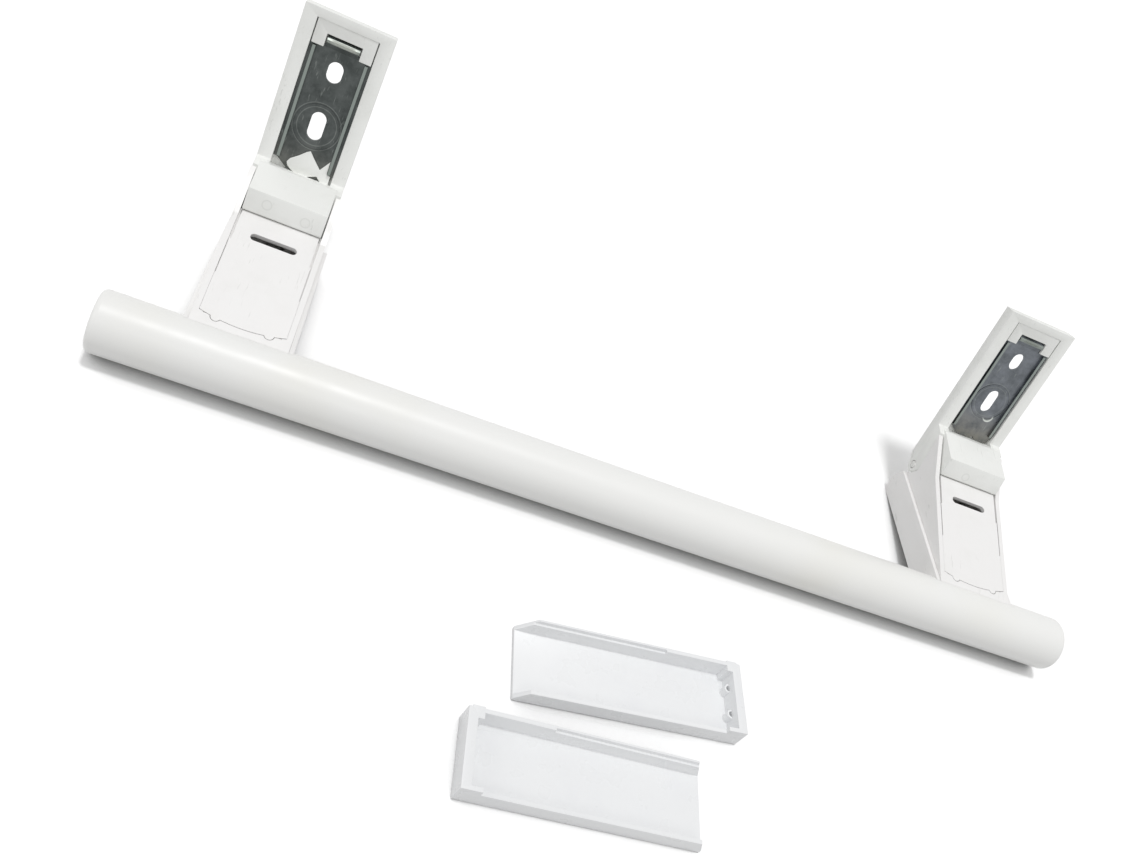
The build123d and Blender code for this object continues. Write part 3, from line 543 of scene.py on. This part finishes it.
# Core, helical thread, and a head with its six-sided drive. The screw's axis is Z, from the tip up.
def screwTree():
    tree, given = nodeTree("threadedScrew", (
        "Core", "Thread", "Pitch", "Length", "Head Radius", "Head", "Drive Radius", "Drive",
        "X", "Start", "Tilt"))
    halfLength = addNode(tree, "ShaderNodeMath", (given["Length"], 0.5), operation="MULTIPLY")
    core = addNode(tree, "GeometryNodeMeshCylinder", {
        "Vertices": screw["coreAround"], "Radius": given["Core"], "Depth": given["Length"]})
    coreRise = addNode(tree, "ShaderNodeCombineXYZ", {"Z": halfLength})
    coreAt = addNode(tree, "GeometryNodeTransform", {"Geometry": core, "Translation": coreRise})

    # The ridge is a square set on its corner, so it keeps its own depth clear at both ends
    depth = addNode(tree, "ShaderNodeMath", (given["Thread"], given["Core"]), operation="SUBTRACT")
    bothEnds = addNode(tree, "ShaderNodeMath", (depth, 2), operation="MULTIPLY")
    run = addNode(tree, "ShaderNodeMath", (given["Length"], bothEnds), operation="SUBTRACT")
    turns = addNode(tree, "ShaderNodeMath", (run, given["Pitch"]), operation="DIVIDE")
    coil = addNode(tree, "GeometryNodeCurveSpiral", {
        "Resolution": screw["coreAround"], "Rotations": turns, "Start Radius": given["Core"],
        "End Radius": given["Core"], "Height": run})
    ridge = addNode(tree, "GeometryNodeCurvePrimitiveCircle", {"Resolution": 4, "Radius": depth})
    thread = addNode(tree, "GeometryNodeCurveToMesh", {
        "Curve": coil, "Profile Curve": ridge, "Fill Caps": True})
    threadRise = addNode(tree, "ShaderNodeCombineXYZ", {"Z": depth})
    threadAt = addNode(tree, "GeometryNodeTransform", {"Geometry": thread, "Translation": threadRise})

    head = addNode(tree, "GeometryNodeMeshCylinder", {
        "Vertices": screw["headAround"], "Radius": given["Head Radius"], "Depth": given["Head"]})
    halfHead = addNode(tree, "ShaderNodeMath", (given["Head"], 0.5), operation="MULTIPLY")
    headMiddle = addNode(tree, "ShaderNodeMath", (given["Length"], halfHead), operation="ADD")
    headRise = addNode(tree, "ShaderNodeCombineXYZ", {"Z": headMiddle})
    headAt = addNode(tree, "GeometryNodeTransform", {"Geometry": head, "Translation": headRise})
    twiceDrive = addNode(tree, "ShaderNodeMath", (given["Drive"], 2), operation="MULTIPLY")
    drive = addNode(tree, "GeometryNodeMeshCylinder", {
        "Vertices": screw["driveSides"], "Radius": given["Drive Radius"], "Depth": twiceDrive})
    headTop = addNode(tree, "ShaderNodeMath", (given["Length"], given["Head"]), operation="ADD")
    driveRise = addNode(tree, "ShaderNodeCombineXYZ", {"Z": headTop})
    driveAt = addNode(tree, "GeometryNodeTransform", {"Geometry": drive, "Translation": driveRise})
    cutHead = addNode(tree, "GeometryNodeMeshBoolean", {"Mesh 1": headAt, "Mesh 2": driveAt}, "Mesh",
                      operation="DIFFERENCE", solver="EXACT")

    whole = addNode(tree, "GeometryNodeJoinGeometry", {"Geometry": [coreAt, threadAt, cutHead]})
    smooth = addNode(tree, "GeometryNodeSetShadeSmooth", {"Geometry": whole})
    start = addNode(tree, "ShaderNodeCombineXYZ", {"Z": given["Start"]})
    lifted = addNode(tree, "GeometryNodeTransform", {"Geometry": smooth, "Translation": start})
    tilt = addNode(tree, "ShaderNodeCombineXYZ", {"X": given["Tilt"]})
    tilted = addNode(tree, "GeometryNodeTransform", {"Geometry": lifted, "Rotation": tilt})
    spot = addNode(tree, "ShaderNodeCombineXYZ", (given["X"], barCentre.y, barCentre.z))
    placed = addNode(tree, "GeometryNodeTransform", {"Geometry": tilted, "Translation": spot})
    closeTree(tree, placed, steel)
    return tree


# The trees turn Z down towards the bases, so the tilt from the level is taken from a right angle
axisTilt = -math.radians(90 - tube["insertTilt"])
bracketAt = {side: baseFrame["acrossMm"][side] * mm for side in sides}
piece = fromTree("handle.tube", tubeTree(), {
    "Length": tube["lengthMm"] * mm, "Radius": tube["radiusMm"] * mm, "Wall": tube["wallMm"] * mm,
    "Spacing": bracketAt["right"] - bracketAt["left"], "Hole Radius": tube["insertRadiusMm"] * mm,
    "Tilt": axisTilt})
finish(piece, "handle_bar", paint)
threaded = screwTree()
for side in sides:
    piece = fromTree(f"{side}.barScrew", threaded, {
        "Core": screw["coreRadiusMm"] * mm, "Thread": screw["threadRadiusMm"] * mm,
        "Pitch": screw["pitchMm"] * mm, "Length": (screw["seatMm"] - screw["tipMm"]) * mm,
        "Head Radius": screw["headRadiusMm"] * mm, "Head": screw["headMm"] * mm,
        "Drive Radius": screw["driveRadiusMm"] * mm, "Drive": screw["driveMm"] * mm,
        "X": bracketAt[side], "Start": screw["tipMm"] * mm, "Tilt": axisTilt})
    finish(piece, f"{side}_bar_screw", steel)
print("tube and screws made by their trees")

# The camera has the photograph's view, from the front, left and above. Its place is measured from the table
# under the middle of the tube, and its axes are right, up and back.
cameraSettings = {
    "lensMm": 34.57, "sensorMm": 36, "clip": (0.01, 20), "placeMm": (-110.16, -202.76, 236.75),
    "axes": ((0.90786, 0.06256, 0.41457), (-0.32257, 0.73587, 0.59535), (-0.26783, -0.67423, 0.68825)),
}


def makeCamera():
    data = bpy.data.cameras.new("photoCamera")
    data.lens = cameraSettings["lensMm"]
    data.sensor_width = cameraSettings["sensorMm"]
    data.clip_start, data.clip_end = cameraSettings["clip"]
    camera = linked("photoCamera", data)
    place = Vector(cameraSettings["placeMm"]) * mm + Vector((barCentre.x, barCentre.y, 0))
    camera.matrix_world = Matrix.Translation(place) @ Matrix(cameraSettings["axes"]).transposed().to_4x4()
    bpy.context.scene.camera = camera


makeCamera()

# Plain pale table and soft studio light. The camera and mirrors see the table as white, and its own bounce
# comes from a greyer tone. Lamps turn in degrees from straight down.
studio = {
    "floorSize": 6.0, "floorWhite": 1.2, "floorGrey": 0.6,
    "contactMm": 12, "contactFrom": (0.08, 0.58), "contactShade": 0.15, "contactSamples": 4,
    "worldLight": 0.52,
    "lamps": {
        "keyOverhead": {"power": 1.04, "spread": 8, "turn": (-2, 0, 0)},
        "fillFromFront": {"power": 0.2, "spread": 20, "turn": (45, 6, 0)},
        "fillFromLeft": {"power": 0.28, "spread": 30, "turn": (10, -58, 0)},
    },
}


def cameraOrMirror(tree):
    path = addNode(tree, "ShaderNodeLightPath").node.outputs
    mirror = addNode(tree, "ShaderNodeMath", (
        path["Is Glossy Ray"], path["Is Transmission Ray"]), operation="MAXIMUM")
    return addNode(tree, "ShaderNodeMath", (mirror, path["Is Camera Ray"]), operation="MAXIMUM")


def makeFloor():
    half = studio["floorSize"] / 2
    mesh = bpy.data.meshes.new("table")
    corners = [(-half, -half, 0), (half, -half, 0), (half, half, 0), (-half, half, 0)]
    mesh.from_pydata(corners, [], [(0, 1, 2, 3)])
    floor = linked("table", mesh)
    material, tree = newMaterial("paleTable")
    grey, white = studio["floorGrey"], studio["floorWhite"]
    # The table darkens close to the pieces that lie on it, where the room's light can't reach
    openness = addNode(tree, "ShaderNodeAmbientOcclusion", {"Distance": studio["contactMm"] * mm}, "AO",
                       samples=studio["contactSamples"])
    shade = addNode(tree, "ShaderNodeMapRange", (
        openness, *studio["contactFrom"], studio["contactShade"] * white, white))
    seen = addNode(tree, "ShaderNodeCombineColor", (shade, shade, shade))
    colour = addNode(tree, "ShaderNodeMix", {
        0: cameraOrMirror(tree), 6: (grey, grey, grey, 1), 7: seen}, 2, data_type="RGBA")
    matt = addNode(tree, "ShaderNodeBsdfDiffuse", {"Color": colour})
    addNode(tree, "ShaderNodeOutputMaterial", {"Surface": matt})
    dress(floor, material)


def makeLight():
    world = bpy.data.worlds.new("softRoom")
    bpy.context.scene.world = world
    world.use_nodes = True
    tree = world.node_tree
    tree.nodes.clear()
    soft = addNode(tree, "ShaderNodeBackground", {"Color": (1, 1, 1, 1), "Strength": studio["worldLight"]})
    white = addNode(tree, "ShaderNodeBackground", {"Color": (1, 1, 1, 1), "Strength": 1.0})
    both = addNode(tree, "ShaderNodeMixShader", (cameraOrMirror(tree), soft, white))
    addNode(tree, "ShaderNodeOutputWorld", {"Surface": both})
    for name, look in studio["lamps"].items():
        data = bpy.data.lights.new(name, "SUN")
        data.energy = look["power"]
        data.angle = math.radians(look["spread"])
        lamp = linked(name, data)
        lamp.rotation_euler = [math.radians(a) for a in look["turn"]]


makeFloor()
makeLight()
bpy.context.scene.view_settings.view_transform = "Standard"
print("camera, table and light set")
